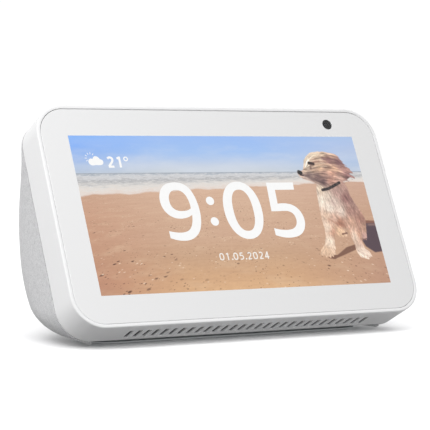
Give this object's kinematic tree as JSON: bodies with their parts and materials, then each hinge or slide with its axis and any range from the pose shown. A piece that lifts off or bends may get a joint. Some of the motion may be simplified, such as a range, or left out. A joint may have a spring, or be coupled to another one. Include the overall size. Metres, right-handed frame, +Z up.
{
  "type": "smart display",
  "caption": "Tabletop smart display with a tilted glass screen in a shallow rounded frame, a fabric-covered rounded back, top keys and a camera shutter.",
  "frame": {"origin": "centre of the footprint box, on the table plane", "axes": "+Z up, +X to the right of the screen, -Y towards the viewer"},
  "size_m": [0.148, 0.073, 0.086],
  "materials": {
    "white_plastic": "satin",
    "cover_glass": "gloss",
    "grey_plastic": "fine texture",
    "black_plastic": "fine texture",
    "knit_fabric": "woven melange",
    "soft_rubber": "matt",
    "steel": "brushed",
    "circuit_board": "solder mask",
    "ribbon": "film",
    "lens": "polished",
    "film": "clear film",
    "lcd": "polished",
    "paper_cone": "pressed paper",
    "ferrite": "ground",
    "copper": "enamelled wire",
    "foam": "open cell"
  },
  "bodies": {
    "main_body": {"front_frame": "white_plastic", "front_glass": "cover_glass", "glass_gasket": "foam", "touch_sensor": "film", "display_panel": "lcd", "light_guide": "film", "backlight_tray": "steel", "mid_frame": "steel", "main_board": "circuit_board", "board_chips": "black_plastic", "shield_can": "steel", "heat_spreader": "steel", "wifi_antennas": "copper", "display_flex": "ribbon", "camera_module": "black_plastic", "camera_lens": "lens", "camera_flex": "ribbon", "light_sensor": "black_plastic", "key_board": "circuit_board", "key_switches": "steel", "microphones": "steel", "microphone_gaskets": "foam", "rear_housing": "grey_plastic", "fabric_cover": "knit_fabric", "speaker_grille": "grey_plastic", "speaker_box": "black_plastic", "speaker_gasket": "foam", "speaker_basket": "steel", "speaker_magnet": "ferrite", "speaker_surround": "soft_rubber", "speaker_wires": "ribbon", "port_plate": "grey_plastic", "port_board": "circuit_board", "power_socket": "black_plastic", "usb_socket": "steel", "audio_socket": "black_plastic", "port_flex": "ribbon", "base_plate": "grey_plastic", "rubber_foot": "soft_rubber", "frame_screws": "steel", "housing_screws": "steel", "board_screws": "steel", "base_screws": "steel", "speaker_screws": "steel"},
    "mute": {"mute_key": "white_plastic"},
    "volume_down": {"volume_down_key": "white_plastic"},
    "volume_up": {"volume_up_key": "white_plastic"},
    "shutter": {"shutter_slider": "white_plastic", "shutter_blade": "grey_plastic"},
    "cone": {"speaker_cone": "paper_cone", "voice_coil": "copper", "dust_cap": "paper_cone"}
  },
  "joints": [
    {"name": "mute_press", "type": "slide", "parent": "main_body", "child": "mute", "axis": [0, -0.4289, -0.9033], "range_m": [0, 0.0003], "stiffness_N_per_m": 3000, "springref_m": -0.0001},
    {"name": "volume_down_press", "type": "slide", "parent": "main_body", "child": "volume_down", "axis": [0, -0.4289, -0.9033], "range_m": [0, 0.0003], "stiffness_N_per_m": 3000, "springref_m": -0.0001},
    {"name": "volume_up_press", "type": "slide", "parent": "main_body", "child": "volume_up", "axis": [0, -0.4289, -0.9033], "range_m": [0, 0.0003], "stiffness_N_per_m": 3000, "springref_m": -0.0001},
    {"name": "shutter_slide", "type": "slide", "parent": "main_body", "child": "shutter", "axis": [1, 0, 0], "range_m": [0, 0.0055]},
    {"name": "cone_stroke", "type": "slide", "parent": "main_body", "child": "cone", "axis": [0, 0.9903, 0.1392], "range_m": [-0.0012, 0.0012], "stiffness_N_per_m": 1200}
  ]
}
